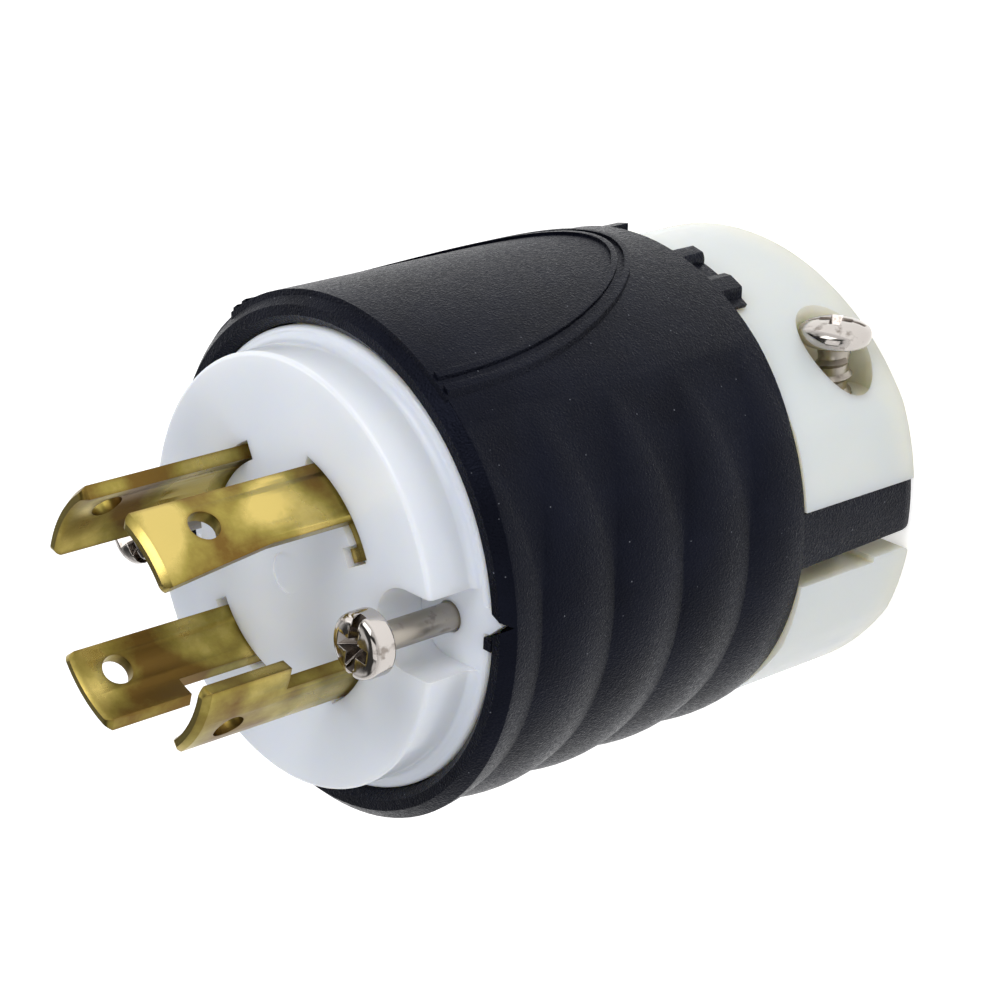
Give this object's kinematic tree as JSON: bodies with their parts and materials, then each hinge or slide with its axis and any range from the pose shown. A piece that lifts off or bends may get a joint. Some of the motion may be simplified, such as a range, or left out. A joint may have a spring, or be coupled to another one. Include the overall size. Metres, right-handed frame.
{
  "type": "locking power plug",
  "caption": "Cylindrical locking power plug with curved blades on a round face, a wave-gripped housing and a screwed cord clamp at the rear.",
  "frame": {"origin": "on the plug axis, in the plane of the cord end that it stands on", "axes": "+Z along the plug axis to the blades, +Y towards the grip pad and the clamp screw heads, +X through one assembly screw"},
  "size_m": [0.057, 0.0576, 0.0896],
  "materials": {
    "black_nylon": "moulded black nylon, fine satin",
    "white_nylon": "moulded white nylon, satin",
    "clamp_nylon": "moulded off-white nylon, satin",
    "brass": "rolled brass",
    "steel": "zinc-plated steel",
    "green_steel": "green dyed steel",
    "grey_plastic": "moulded grey thermoplastic"
  },
  "bodies": {
    "plug": {"housing": "black_nylon", "front_body": "white_nylon", "terminal_block": "grey_plastic", "ground_blade": "brass", "line_x_blade": "brass", "line_y_blade": "brass", "neutral_blade": "brass", "ground_terminal_screw": "green_steel", "line_x_terminal_screw": "brass", "line_y_terminal_screw": "brass", "neutral_terminal_screw": "steel", "ground_wire_plate": "steel", "line_x_wire_plate": "steel", "line_y_wire_plate": "steel", "neutral_wire_plate": "steel", "assembly_screws": "steel", "threaded_inserts": "brass", "upper_clamp_jaw": "clamp_nylon"},
    "lower_jaw": {"lower_clamp_jaw": "clamp_nylon"},
    "clamp_screws": {"clamp_screws": "steel"}
  },
  "joints": [
    {"name": "jaw_close", "type": "slide", "parent": "plug", "child": "lower_jaw", "axis": [0, 1, 0], "range_m": [0, 0.0011]},
    {"name": "clamp_screws_in", "type": "slide", "parent": "plug", "child": "clamp_screws", "axis": [0, -1, 0], "range_m": [0, 0.0056]}
  ]
}
